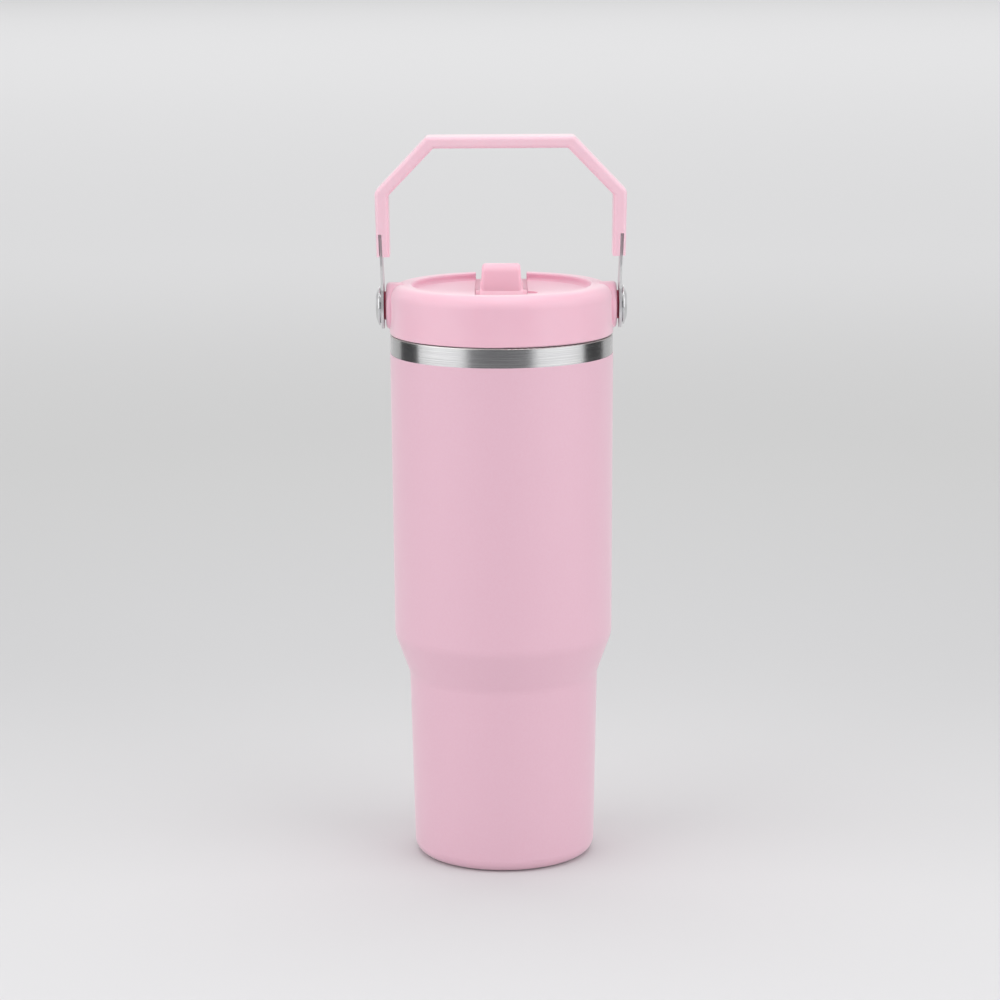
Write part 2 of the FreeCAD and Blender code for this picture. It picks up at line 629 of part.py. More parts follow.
def spout_seal():
    """Silicone seat between the well's floor and the spout's barrel."""
    body = new_body("spout_seal", HINGE_HEIGHT)
    floor = "(0 - barrel_radius - spout_seal_height)"
    revolve(body, [
        ("spout_seal_bore", floor), ("spout_seal_radius", floor),
        ("spout_seal_radius", "0"), ("spout_seal_bore", "0"),
    ])
    prism(body, "YZ_Plane", "0 - spout_seal_radius - overrun", "spout_seal_radius + overrun",
          ring=("0", "0", "barrel_radius + spout_seal_gap"), cut=True)
    return body


def straw():
    """Straw pushed into the stem's socket, with a slanted lower end."""
    body = new_body("straw")
    bottom = "(liner_floor + straw_floor_gap)"
    top = f"({LID_BOTTOM} + {STEM_BOTTOM} + stem_socket)"
    revolve(body, [
        ("straw_radius - straw_wall", bottom), ("straw_radius", bottom),
        ("straw_radius", top), ("straw_radius - straw_wall", top),
    ])
    prism(body, "XZ_Plane", "0 - 2 * straw_radius", "2 * straw_radius", cut=True, corners=[
        ("0 - straw_radius - overrun", f"{bottom} - overrun"),
        ("straw_radius + overrun", f"{bottom} - overrun"),
        ("straw_radius + overrun", f"{bottom} + straw_bevel"),
        ("0 - straw_radius - overrun", bottom),
    ])
    return body


def spout():
    """Flip mouthpiece: hinge barrel with trunnions, upright face, arm and flow bore.
    Its own origin is on the hinge axis; the arm lies towards +Y when folded."""
    body = new_body("spout", HINGE_HEIGHT)
    half = "(spout_width / 2)"
    under = "(hinge_drop - channel_depth + spout_floor_gap)"
    prism(body, "YZ_Plane", f"0 - {half}", half, corners=[
        ("0 - face_setback", "0"),
        ("barrel_radius - spout_heel", "0"),
        ("barrel_radius - spout_heel_end", under, "spout_heel_round"),
        (TIP_REACH, under, "tip_round"),
        (TIP_REACH, "hinge_drop + tip_rise", "tip_round"),
        ("0 - face_setback", "hinge_drop + crown_rise", "crown_round"),
    ])
    # draft: above the hinge's height the sides lean in towards the crown
    slope = "(spout_draft / (hinge_drop + crown_rise))"
    above = "(hinge_drop + crown_rise + overrun)"
    reach = f"({TIP_REACH} + overrun)"
    for sign in ("", "0 - "):
        prism(body, "XZ_Plane", f"0 - {reach}", reach, cut=True, corners=[
            (f"{sign}{half}", "0"), (f"{sign}({half} + overrun)", "0"),
            (f"{sign}({half} + overrun)", above), (f"{sign}({half} - {slope} * {above})", above)])
    side, lean = size(half), size(slope)
    floor = size("hinge_drop - channel_depth")
    round_edges(body, "spout_edge_round",
                lambda edge: edge.CenterOfMass.z > floor
                and all(abs(abs(v.X) + lean * max(v.Z, 0) - side) < SAME_PLACE
                        for v in edge.Vertexes)
                and abs(edge.CenterOfMass.x) > side / 2)
    prism(body, "YZ_Plane", f"0 - {half}", half, ring=("0", "0", "barrel_radius"))
    collar = f"({CHANNEL_HALF} - trunnion_play)"
    prism(body, "YZ_Plane", f"0 - {collar}", collar, ring=("0", "0", "trunnion_collar_radius"))
    pin = f"({WELL_OUTER} - trunnion_play)"
    prism(body, "YZ_Plane", f"0 - {pin}", pin, ring=("0", "0", "trunnion_radius"))
    # flow bore: in at the barrel's front, up past the hinge and out at the tip
    route = new_sketch(body, "YZ_Plane")
    draw(route, [
        ("0 - barrel_radius - overrun", "0"), ("0", "0", "flow_bend"),
        ("flow_knee_reach", "flow_knee_rise", "flow_knee_bend"),
        (f"{TIP_REACH} + overrun", "flow_tip_rise"),
    ], closed=False)
    bore = circle(body, "XZ_Plane", "0", "0", "flow_radius", shift="barrel_radius + overrun")
    pipe = body.newObject("PartDesign::SubtractivePipe", "flow_bore")
    pipe.Profile = bore
    pipe.Spine = (route, [])
    return body


# ---------------------------------------------------------------- handle and pivots
def grip():
    """Moulded bail grip: eight-cornered bow with slotted legs, around the arms' ends."""
    body = new_body("grip_bow", PIVOT_HEIGHT)
    bar_under = "(grip_reach - bar_thickness)"
    outer = [(LEG_OUTER, "leg_foot_reach"),
             (KNEE_OUTER, "grip_reach - knee_drop", "corner_round"),
             (f"{KNEE_OUTER} - corner_inset", "grip_reach", "corner_round")]
    inner = [(f"{KNEE_INNER} - corner_inner_inset", bar_under),
             (KNEE_INNER, f"{bar_under} - knee_inner_drop"), (LEG_INNER, "leg_foot_reach")]

    def mirrored(corners):
        return [(f"0 - ({corner[0]})", *corner[1:]) for corner in reversed(corners)]

    half = "(grip_depth / 2)"
    prism(body, "XZ_Plane", f"0 - {half}", half,
          corners=outer + mirrored(outer) + mirrored(inner) + inner)
    side = size(half)
    round_edges(body, "grip_round",
                lambda edge: abs(abs(edge.CenterOfMass.y) - side) < SAME_PLACE
                and edge.CenterOfMass.z > size("leg_foot_reach") + SAME_PLACE)
    slope = "arm_lean / (arm_reach - arm_lean_start)"
    for sign in ("", "0 - "):
        low = f"({ARM_FACE} + {slope} * (leg_foot_reach - arm_lean_start) - leg_slot_gap)"
        high = f"({ARM_FACE} + {slope} * (leg_slot_reach - arm_lean_start) - leg_slot_gap)"
        width = "(arm_thickness + 2 * leg_slot_gap)"
        prism(body, "XZ_Plane", f"0 - {half} - overrun", f"{half} + overrun", cut=True, corners=[
            (f"{sign}({low} - {slope} * overrun)", "leg_foot_reach - overrun"),
            (f"{sign}({low} - {slope} * overrun + {width})", "leg_foot_reach - overrun"),
            (f"{sign}({high} + {width})", "leg_slot_reach"),
            (f"{sign}{high}", "leg_slot_reach"),
        ])
    return body


def handle_arm(label, sign):
    """Stamped steel arm: round eye on the pivot, then a strip that leans outwards."""
    body = new_body(label, PIVOT_HEIGHT)
    near, far = ARM_FACE, f"({ARM_FACE} + arm_thickness)"

    def span(low, high):
        return (low, high) if sign > 0 else (f"0 - ({high})", f"0 - ({low})")

    def trim(corners):
        side = "" if sign > 0 else "0 - "
        prism(body, "XZ_Plane", "0 - eye_radius - overrun", "eye_radius + overrun", cut=True,
              corners=[(f"{side}({x})", z) for x, z in corners])

    blade = [("eye_radius", "0 - eye_radius", "eye_radius - eye_flat"),
             ("eye_radius", "arm_waist_reach", "arm_waist_round"),
             ("strip_width / 2", "arm_neck_reach", "arm_neck_round"),
             ("strip_width / 2", "arm_reach", "arm_end_round")]
    prism(body, "YZ_Plane", *span(near, f"{far} + arm_lean"),
          corners=blade + [(f"0 - {c[0]}", *c[1:]) for c in reversed(blade)])
    # the sheet is level with the ear up to where it starts to lean
    trim([(near, "arm_lean_start"), (f"{near} + arm_lean", "arm_reach"),
          (f"{near} + arm_lean", "arm_reach + overrun"),
          (f"{near} - overrun", "arm_reach + overrun"),
          (f"{near} - overrun", "arm_lean_start")])
    trim([(far, "0 - eye_radius - overrun"), (far, "arm_lean_start"),
          (f"{far} + arm_lean", "arm_reach"),
          (f"{far} + arm_lean", "arm_reach + overrun"),
          (f"{far} + arm_lean + overrun", "arm_reach + overrun"),
          (f"{far} + arm_lean + overrun", "0 - eye_radius - overrun")])
    prism(body, "YZ_Plane", *span(EAR_FACE, f"{far} + overrun"),
          ring=("0", "0", "shoulder_pin_radius + running_gap"), cut=True)
    return body


def turned_on_pivot(label, sign, corners):
    """A round piece on the pivot axis, from distances along X and radii."""
    body = new_body(label, PIVOT_HEIGHT)
    side = "" if sign > 0 else "0 - "
    revolve(body, [(f"{side}({c[0]})", *c[1:]) for c in corners], axis="H_Axis")
    return body


def pivot_insert(label, sign):
    """Threaded brass insert moulded into the ear."""
    inner = f"{EAR_FACE} - insert_length"
    return turned_on_pivot(label, sign, [
        (inner, "shank_radius"), (EAR_FACE, "shank_radius"),
        (EAR_FACE, INSERT_RADIUS), (f"{EAR_FACE} - insert_length * 0.4", INSERT_RADIUS),
        (f"{EAR_FACE} - insert_length * 0.45", f"{INSERT_RADIUS} - insert_groove"),
        (f"{EAR_FACE} - insert_length * 0.55", f"{INSERT_RADIUS} - insert_groove"),
        (f"{EAR_FACE} - insert_length * 0.6", INSERT_RADIUS), (inner, INSERT_RADIUS),
    ])


def pivot_spacer(label, sign):
    """Nylon washer between ear and arm."""
    return turned_on_pivot(label, sign, [
        (EAR_FACE, "shoulder_pin_radius"), (f"{EAR_FACE} + spacer_width", "shoulder_pin_radius"),
        (f"{EAR_FACE} + spacer_width", "spacer_radius", "spacer_round"),
        (EAR_FACE, "spacer_radius"),
    ])


def cup_washer(label, sign):
    """Stepped steel washer under the screw's dome."""
    return turned_on_pivot(label, sign, [
        (CUP_FACE, "shoulder_pin_radius"), (DOME_FACE, "shoulder_pin_radius"),
        (DOME_FACE, "cup_washer_radius", "cup_washer_round"),
        (CUP_FACE, "cup_washer_radius", "cup_washer_round"),
    ])


def pivot_screw(label, sign):
    """Shoulder screw with a polished dome: the handle's axle."""
    crown = f"({DOME_FACE} + dome_height)"
    rim = f"({DOME_FACE} + dome_rim)"
    return turned_on_pivot(label, sign, [
        (f"{EAR_FACE} - insert_length + shank_end_gap", "0"),
        (f"{EAR_FACE} - insert_length + shank_end_gap", "shank_radius"),
        (EAR_FACE, "shank_radius"), (EAR_FACE, "shoulder_pin_radius"),
        (DOME_FACE, "shoulder_pin_radius"), (DOME_FACE, "dome_radius", "dome_under_round"),
        (rim, "dome_radius", "dome_rim_round"),
        (crown, "dome_radius - dome_crown_inset", "dome_crown_round"), (crown, "0"),
    ])


pieces = [
    outer_shell(), inner_liner(), liner_cup(), base_plate(), vacuum_seal(), base_cover(),
    getter_cup(), getter(), lid_cover(), lid_plug(), straw_stem(), lid_gasket(),
    vent_cap(), spout_seal(), straw(), spout(),
]
arms = []
for side_name, side_sign in (("left", -1), ("right", 1)):
    arms.append(handle_arm(f"handle_arm_{side_name}", side_sign))
    pieces += [
        pivot_insert(f"pivot_insert_{side_name}", side_sign),
        pivot_spacer(f"pivot_spacer_{side_name}", side_sign),
        cup_washer(f"cup_washer_{side_name}", side_sign),
        pivot_screw(f"pivot_screw_{side_name}", side_sign),
    ]
pieces += arms

# The grip is moulded around the ends of both arms.
arm_pair = doc.addObject("Part::MultiFuse", "arm_pair")
arm_pair.Shapes = arms
handle_grip = doc.addObject("Part::Cut", "handle_grip")
handle_grip.Label = "handle_grip"
handle_grip.Base = grip()
handle_grip.Tool = arm_pair
pieces.append(handle_grip)

# ---------------------------------------------------------------- build, test and write
doc.recompute()
faults = [item.Label for item in doc.Objects
          if "Invalid" in item.State or "Error" in item.State]
for piece in pieces:
    if piece.Shape.isNull() or not piece.Shape.isValid():
        faults.append(f"{piece.Label} has no valid shape")
for item in doc.Objects:
    if item.isDerivedFrom("PartDesign::Pocket") and not item.Shape.isNull():
        if item.Shape.Volume > item.BaseFeature.Shape.Volume - SAME_PLACE:
            faults.append(f"{item.Name} cuts nothing")
if faults:
    raise RuntimeError("; ".join(faults))

os.makedirs("parts", exist_ok=True)
for piece in pieces:
    piece.Shape.exportStep(os.path.join("parts", f"{piece.Label}.step"))
    bounds = piece.Shape.BoundBox
    print(f"{piece.Label:20s} {len(piece.Shape.Solids)} solid  {piece.Shape.Volume:10.1f} mm3  "
          f"x {bounds.XMin:7.2f} {bounds.XMax:7.2f}  y {bounds.YMin:7.2f} {bounds.YMax:7.2f}  "
          f"z {bounds.ZMin:7.2f} {bounds.ZMax:7.2f}")
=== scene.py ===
# %% [markdown]
# # An insulated tumbler with a flip spout and a bail handle
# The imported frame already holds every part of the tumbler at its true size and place.
# This lesson gives each part the surface that its real counterpart has, adds the lip of
# the coat that a machine drawing leaves out, and lights the result in a small studio.
# The first cell loads the frame and notes how large it is.

# %% Load the frame
import math

import bpy
import numpy as np
from mathutils import Matrix, Vector


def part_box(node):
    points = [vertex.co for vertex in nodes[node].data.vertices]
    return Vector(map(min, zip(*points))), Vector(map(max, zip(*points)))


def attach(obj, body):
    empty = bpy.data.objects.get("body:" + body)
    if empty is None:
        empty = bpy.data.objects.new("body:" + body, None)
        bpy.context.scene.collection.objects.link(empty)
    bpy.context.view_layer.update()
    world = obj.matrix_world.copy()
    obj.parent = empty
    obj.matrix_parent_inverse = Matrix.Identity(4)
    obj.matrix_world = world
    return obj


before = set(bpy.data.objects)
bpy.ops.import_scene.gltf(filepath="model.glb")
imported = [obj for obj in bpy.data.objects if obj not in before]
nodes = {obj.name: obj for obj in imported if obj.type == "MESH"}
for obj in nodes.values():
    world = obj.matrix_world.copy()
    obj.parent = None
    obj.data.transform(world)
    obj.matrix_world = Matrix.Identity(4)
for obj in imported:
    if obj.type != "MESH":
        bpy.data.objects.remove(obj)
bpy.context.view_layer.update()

MM = 0.001

# %% [markdown]
# Colours are picked from swatches, which are written as sRGB hex values, while a shader works
# in linear light. One function turns the first into the second. A shader is a small tree of
# nodes, and it could be built by hand, socket by socket. A few short helpers say the same in
# fewer words: they make a material, add a node, join outputs to the shader, give the point
# being shaded, and put the material on parts.

# %% Colour
def linear(swatch):
    """sRGB hex to linear RGBA: below 0.04045 divide by 12.92, above it take
    ((value + 0.055) / 1.055) to the power 2.4."""
    srgb = np.array([int(swatch[i:i + 2], 16) for i in (1, 3, 5)]) / 255
    light = np.where(srgb <= 0.04045, srgb / 12.92, ((srgb + 0.055) / 1.055) ** 2.4)
    return (*light.tolist(), 1.0)


print("middle grey is", round(linear("#808080")[0], 3), "in linear light")


# %% Material helpers
def new_material(name, **surface):
    """A material, its node tree and its Principled shader, which surface sets."""
    made = bpy.data.materials.new(name)
    made.use_nodes = True
    shader = made.node_tree.nodes["Principled BSDF"]
    for socket, value in surface.items():
        shader.inputs[socket.replace("_", " ")].default_value = value
    return made, made.node_tree, shader


def add(tree, kind, inputs=None, **settings):
    """Add one shader node: settings are its own choices, and inputs its sockets, each
    given a value or joined to another node's output."""
    made = tree.nodes.new(kind)
    for name, value in settings.items():
        setattr(made, name, value)
    for socket, value in (inputs or {}).items():
        if isinstance(value, bpy.types.NodeSocket):
            tree.links.new(value, made.inputs[socket])
        else:
            made.inputs[socket].default_value = value
    return made


def join(tree, shader, **outputs):
    """Join each output to the shader's socket of that name."""
    for socket, output in outputs.items():
        tree.links.new(output, shader.inputs[socket.replace("_", " ")])


def object_point(tree, scale=(1, 1, 1)):
    """The point being shaded in metres, stretched along each axis by scale."""
    here = add(tree, "ShaderNodeTexCoord").outputs["Object"]
    return add(tree, "ShaderNodeMapping", {"Vector": here, "Scale": scale}).outputs["Vector"]


def wear(*names, material):
    """Put the material on the named parts."""
    for name in names:
        nodes[name].data.materials.clear()
        nodes[name].data.materials.append(material)
    print(material.name, "on", ", ".join(names))


# %% [markdown]
# ## Powder coat over stainless steel
# The outer wall is a steel tube, sprayed with pink polyester powder that melts in an oven
# into a tough skin. Its surface is a fine grit with a slow orange-peel swell, so it is
# matt but still catches a pale sheen where it turns away from the eye. The coat stops
# below the mouth, where the belt-brushed steel shows as a band. The two finishes could be
# two parts, but the wall is one part of the frame, so one material changes at a height.

# %% Real sizes of the patterns
BAND_BOTTOM = 208.5 * MM
GRIT = 0.9 * MM          # real grit is 0.2 mm; drawn coarser so that it can be seen
PEEL = 5 * MM
BRUSH_LINE = 0.35 * MM   # real lines are 0.1 mm apart; drawn coarser for the same reason
BRUSH_RUN = 40 * MM
ALONG, ACROSS = 1 / BRUSH_RUN, 1 / BRUSH_LINE
print("brush lines for each mm:", round(ACROSS * MM, 1))


# %% Brush lines
def brushed(tree, run):
    """Grey streaks as a brushing belt leaves them: noise squeezed to fine lines across,
    and drawn out along run, a vector of stretch for each axis."""
    return add(tree, "ShaderNodeTexNoise",
               {"Vector": object_point(tree, run), "Scale": 1.0, "Detail": 3.0,
                "Roughness": 0.6}).outputs["Fac"]


# %% Powder coat and steel band
COAT_MATT, COAT_SATIN = 0.42, 0.52
BAND_SMOOTH, BAND_DULL = 0.12, 0.24
PEEL_SHARE = 0.35        # how much of the coat's relief is orange peel; the rest is grit
RELIEF = 0.05 * MM


def powder_coat_over_steel():
    """Two pinks mixed by the grit up to the band, two greys mixed by brush lines above."""
    made, tree, shader = new_material("powder_coat_over_steel", Sheen_Weight=0.5,
                                      Sheen_Roughness=0.4)
    height = add(tree, "ShaderNodeSeparateXYZ", {0: object_point(tree)}).outputs["Z"]
    bare = add(tree, "ShaderNodeMath", {0: height, 1: BAND_BOTTOM},
               operation="GREATER_THAN").outputs[0]
    grit = add(tree, "ShaderNodeTexNoise",
               {"Vector": object_point(tree), "Scale": 1 / GRIT, "Detail": 2.0}).outputs["Fac"]
    peel = add(tree, "ShaderNodeTexNoise",
               {"Vector": object_point(tree), "Scale": 1 / PEEL, "Detail": 1.0}).outputs["Fac"]
    streaks = brushed(tree, (ALONG, ALONG, ACROSS))
    pink = add(tree, "ShaderNodeMix",
               {"Factor": grit, "A": linear("#E9BACB"), "B": linear("#EBC1D1")},
               data_type="RGBA")
    grey = add(tree, "ShaderNodeMix",
               {"Factor": streaks, "A": linear("#A0A0A2"), "B": linear("#D8D8D7")},
               data_type="RGBA")
    colour = add(tree, "ShaderNodeMix",
                 {"Factor": bare, "A": pink.outputs["Result"], "B": grey.outputs["Result"]},
                 data_type="RGBA")
    coat_gloss = add(tree, "ShaderNodeMapRange",
                     {"Value": peel, "To Min": COAT_MATT, "To Max": COAT_SATIN}).outputs[0]
    band_gloss = add(tree, "ShaderNodeMapRange",
                     {"Value": streaks, "To Min": BAND_SMOOTH, "To Max": BAND_DULL}).outputs[0]
    gloss = add(tree, "ShaderNodeMix", {"Factor": bare, "A": coat_gloss, "B": band_gloss})
    swell = add(tree, "ShaderNodeMix",
                {"Factor": PEEL_SHARE, "A": grit, "B": peel}).outputs[0]
    relief = add(tree, "ShaderNodeMix", {"Factor": bare, "A": swell, "B": streaks})
    bump = add(tree, "ShaderNodeBump",
               {"Height": relief.outputs[0], "Strength": 0.5, "Distance": RELIEF})
    join(tree, shader, Base_Color=colour.outputs["Result"], Metallic=bare,
         Roughness=gloss.outputs[0], Normal=bump.outputs[0])
    return made


wear("outer_shell", material=powder_coat_over_steel())

# %% [markdown]
# The masking tape that kept the band bare is peeled off while the powder is still loose,
# so the coat ends in a soft round lip. It could be a bevel on the wall, but the wall is
# the frame's own part, so it is a ring of round section, half sunk in the wall: a grid of
# two angles, worked out as whole arrays.

# %% A ring as a surface of two angles
def ring_surface(name, ring_radius, tube_radius, height, around_count=240, tube_count=12):
    """A ring about the Z axis: the first angle goes around the axis and the second around
    the tube.  Distance from the axis is ring radius plus tube radius times the cosine of
    the second angle, and height is its sine times the tube radius, above the middle."""
    turn = np.arange(around_count) * (2 * np.pi / around_count)
    roll = np.arange(tube_count) * (2 * np.pi / tube_count)
    turn, roll = np.meshgrid(turn, roll, indexing="ij")
    reach = ring_radius + tube_radius * np.cos(roll)
    points = np.stack([reach * np.cos(turn), reach * np.sin(turn),
                       height + tube_radius * np.sin(roll)], axis=-1).reshape(-1, 3)
    here = np.arange(around_count * tube_count).reshape(around_count, tube_count)
    ahead, above = np.roll(here, -1, axis=0), np.roll(here, -1, axis=1)
    both = np.roll(ahead, -1, axis=1)
    quads = np.stack([here, ahead, both, above], axis=-1).reshape(-1, 4)
    mesh = bpy.data.meshes.new(name)
    mesh.from_pydata(points.tolist(), [], quads.tolist())
    mesh.polygons.foreach_set("use_smooth", np.ones(len(quads), dtype=bool))
    made = bpy.data.objects.new(name, mesh)
    bpy.context.scene.collection.objects.link(made)
    print(name, "has", len(quads), "faces")
    return made


# %% Lip of the coat
COAT_LIP = 0.15 * MM
WALL_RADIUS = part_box("outer_shell")[1][0] - COAT_LIP

lip = ring_surface("coat_lip", WALL_RADIUS, COAT_LIP, BAND_BOTTOM - COAT_LIP)
lip.data.materials.append(nodes["outer_shell"].data.materials[0])
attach(lip, "vessel")
print("lip radius in mm:", round(WALL_RADIUS / MM, 2))

# %% [markdown]
# ## Moulded polypropylene
# The lid, spout and grip are injection-moulded in a pink polypropylene. The mould was
# etched, so the plastic has a fine satin texture, and a little light sinks in before it
# comes out again, which softens the shade in the corners. A plain colour would look like
# paint, so a slow mottle of two pinks follows the way that the melt flowed.

# %% Moulded plastic
ETCH = 0.7 * MM          # real etching is 0.1 mm; drawn coarser so that it can be seen
FLOW = 14 * MM
SINK = 1.5 * MM          # how far red light goes in; green and blue go half as far
SATIN, SMOOTHER, ROUGHER = 0.38, 0.04, 0.06
ETCH_DEPTH = 0.03 * MM


def moulded(name, low, high):
    """Satin plastic between two pinks, by a slow mottle as the melt flowed."""
    made, tree, shader = new_material(
        name, IOR=1.49, Sheen_Weight=0.7, Sheen_Roughness=0.4, Subsurface_Weight=0.08,
        Subsurface_Radius=(1.0, 0.45, 0.5), Subsurface_Scale=SINK)
    etch = add(tree, "ShaderNodeTexNoise",
               {"Vector": object_point(tree), "Scale": 1 / ETCH, "Detail": 2.0}).outputs["Fac"]
    flow = add(tree, "ShaderNodeTexNoise",
               {"Vector": object_point(tree), "Scale": 1 / FLOW, "Detail": 1.5}).outputs["Fac"]
    colour = add(tree, "ShaderNodeMix",
                 {"Factor": flow, "A": linear(low), "B": linear(high)}, data_type="RGBA")
    gloss = add(tree, "ShaderNodeMapRange", {"Value": flow, "To Min": SATIN - SMOOTHER,
                                             "To Max": SATIN + ROUGHER})
    bump = add(tree, "ShaderNodeBump",
               {"Height": etch, "Strength": 0.35, "Distance": ETCH_DEPTH})
    join(tree, shader, Base_Color=colour.outputs["Result"], Roughness=gloss.outputs[0],
         Normal=bump.outputs[0])
    return made


wear("lid_cover", "lid_plug", "straw_stem",
     material=moulded("moulded_lid_plastic", "#F1BCCE", "#F4C5D5"))
# The spout's pinks are the lid plastic made paler: painted light standing in for the light on
# its face.
wear("spout", material=moulded("moulded_spout_plastic_painted_light", "#FAC8D8", "#FDD2DF"))
# The grip's pinks are the lid plastic made paler: painted light standing in for the light on
# its top.
wear("handle_grip", material=moulded("moulded_grip_plastic_painted_light", "#F3C7D6", "#F6CFDB"))

# %% [markdown]
# ## Steel in four finishes
# The same stainless steel looks different by how it was worked: the liner was
# electropolished and is silky, the arms were belt-brushed along their length, the domes
# and washers were polished until they mirror the room, and the base was spun on a lathe.
# Four separate materials would repeat themselves, so one function takes two greys, the
# roughness, and how the streaks run and how deep they are.

# %% Steel
BUFFED, SPUN = 1 / (6 * MM), 1 / (2 * MM)   # one over the size of their soft patches
LESS, MORE = 0.8, 1.3                       # how far the roughness swings


def steel(name, low, high, rough, run, depth):
    """Streaked metal: colour and gloss follow one streak pattern stretched by run."""
    made, tree, shader = new_material(name, Metallic=1.0)
    streaks = brushed(tree, run)
    colour = add(tree, "ShaderNodeMix",
                 {"Factor": streaks, "A": linear(low), "B": linear(high)}, data_type="RGBA")
    gloss = add(tree, "ShaderNodeMapRange",
                {"Value": streaks, "To Min": rough * LESS, "To Max": rough * MORE})
    bump = add(tree, "ShaderNodeBump",
               {"Height": streaks, "Strength": 0.5, "Distance": depth})
    join(tree, shader, Base_Color=colour.outputs["Result"], Roughness=gloss.outputs[0],
         Normal=bump.outputs[0])
    return made


wear("inner_liner", "liner_cup",
     material=steel("electropolished_steel", "#C4C3C0", "#D4D3D0", rough=0.28,
                    run=(ALONG, ALONG, ACROSS), depth=0.02 * MM))
wear("handle_arm_left", "handle_arm_right",
     material=steel("belt_brushed_steel", "#CFCFD1", "#EEEEEE", rough=0.42,
                    run=(ACROSS, ACROSS, ALONG), depth=0.03 * MM))
wear("pivot_screw_left", "pivot_screw_right", "cup_washer_left", "cup_washer_right",
     material=steel("polished_steel", "#D6D6D8", "#E8E8E8", rough=0.06,
                    run=(BUFFED,) * 3, depth=0.004 * MM))
wear("base_plate", "base_cover", "getter_cup",
     material=steel("spun_base_steel", "#B2B2B2", "#C8C8C8", rough=0.34,
                    run=(SPUN,) * 3, depth=0.02 * MM))

# %% [markdown]
# ## Small parts
# Silicone is milky and slightly tacky, so it scatters light and gathers a little dust.
# The straw is a milky tube that lets light through. The pivots have nylon spacers and
# brass inserts, and the vacuum space holds a black sintered getter and a bead of glass.
# Two functions are enough: one for what is cloudy, and one for what has a grain.

# %% Cloudy rubber and plastic
CLOUD = 3 * MM
GLOSS_SWING = 0.15


def milky(name, tint, rough, through):
    """Cloudy rubber or plastic that lets some light through, with a cloudy mottle."""
    made, tree, shader = new_material(name, Subsurface_Weight=0.3, Subsurface_Scale=1 * MM,
                                      Transmission_Weight=through)
    cloud = add(tree, "ShaderNodeTexNoise",
                {"Vector": object_point(tree), "Scale": 1 / CLOUD, "Detail": 3.0})
    colour = add(tree, "ShaderNodeMix",
                 {"Factor": cloud.outputs["Fac"], "A": linear(tint), "B": linear("#FFFFFF")},
                 data_type="RGBA")
    gloss = add(tree, "ShaderNodeMapRange", {"Value": cloud.outputs["Fac"], "To Min": rough,
                                             "To Max": rough + GLOSS_SWING})
    join(tree, shader, Base_Color=colour.outputs["Result"], Roughness=gloss.outputs[0])
    return made


wear("lid_gasket", "vent_cap", "spout_seal",
     material=milky("cast_silicone", "#E8E2E2", rough=0.4, through=0.1))
wear("straw", material=milky("extruded_straw", "#F0E9EA", rough=0.25, through=0.35))


# %% Nylon, brass, getter and glass
def grainy(name, low, high, grain, rough, metallic=0.0):
    """A plain solid with a grain of the given size, a twentieth as deep as it is wide."""
    made, tree, shader = new_material(name, Metallic=metallic)
    speck = add(tree, "ShaderNodeTexNoise",
                {"Vector": object_point(tree), "Scale": 1 / grain, "Detail": 4.0})
    colour = add(tree, "ShaderNodeMix",
                 {"Factor": speck.outputs["Fac"], "A": linear(low), "B": linear(high)},
                 data_type="RGBA")
    gloss = add(tree, "ShaderNodeMapRange", {"Value": speck.outputs["Fac"], "To Min": rough,
                                             "To Max": rough + GLOSS_SWING})
    bump = add(tree, "ShaderNodeBump", {"Height": speck.outputs["Fac"], "Strength": 0.3,
                                        "Distance": grain / 20})
    join(tree, shader, Base_Color=colour.outputs["Result"], Roughness=gloss.outputs[0],
         Normal=bump.outputs[0])
    return made


# The spacers' deep rose is painted shade: the gap between the lid's ear and the arm lies in
# shadow.
wear("pivot_spacer_left", "pivot_spacer_right",
     material=grainy("moulded_nylon_painted_shade", "#C23E60", "#D04E6C", grain=0.5 * MM, rough=0.45))
wear("pivot_insert_left", "pivot_insert_right",
     material=grainy("turned_brass", "#B08A45", "#D0A860", grain=0.4 * MM, rough=0.25,
                     metallic=1.0))
wear("getter",
     material=grainy("sintered_getter", "#2A2A2C", "#4A4A4C", grain=0.2 * MM, rough=0.75))
wear("vacuum_seal",
     material=grainy("solder_glass", "#3A4442", "#566462", grain=0.8 * MM, rough=0.12))

# %% [markdown]
# ## The floor
# The tumbler stands on a wide sheet of pale paper. A flat colour would do, but a real sheet is
# lit unevenly, so that uneven light is painted into the paper's colour as shade that changes
# slowly with distance: greyest a little behind the tumbler and paler again far off.

# %% A panel for the floor and the flags
def stage_panel(name, size, centre, facing, material):
    """A flat rectangle at centre whose face looks along facing."""
    mesh = bpy.data.meshes.new(name)
    half_x, half_y = size[0] / 2, size[1] / 2
    mesh.from_pydata([(-half_x, -half_y, 0), (half_x, -half_y, 0), (half_x, half_y, 0),
                      (-half_x, half_y, 0)], [], [(0, 1, 2, 3)])
    turn = Vector(facing).to_track_quat("Z", "Y").to_matrix().to_4x4()
    mesh.transform(Matrix.Translation(centre) @ turn)
    mesh.materials.append(material)
    panel = bpy.data.objects.new(name, mesh)
    bpy.context.scene.collection.objects.link(panel)
    return panel


# %% Paper floor
FLOOR_WIDTH = 60
FLAT = {"Roughness": 0.9, "Specular_IOR_Level": 0.1}
# Painted shade of the paper: swatches listed by metres from the tumbler.
NEAR, FAR = -0.5, 5.0    # metres from the tumbler
NEAR_PAINTED_SHADE, FAR_PAINTED_SHADE = "#E2E2E4", "#DFDFE0"
PAINTED_SHADES = ((0.0, "#D7D7D8"), (0.35, "#CECECF"), (0.9, "#CFCFCF"), (2.2, "#E2E2E3"))


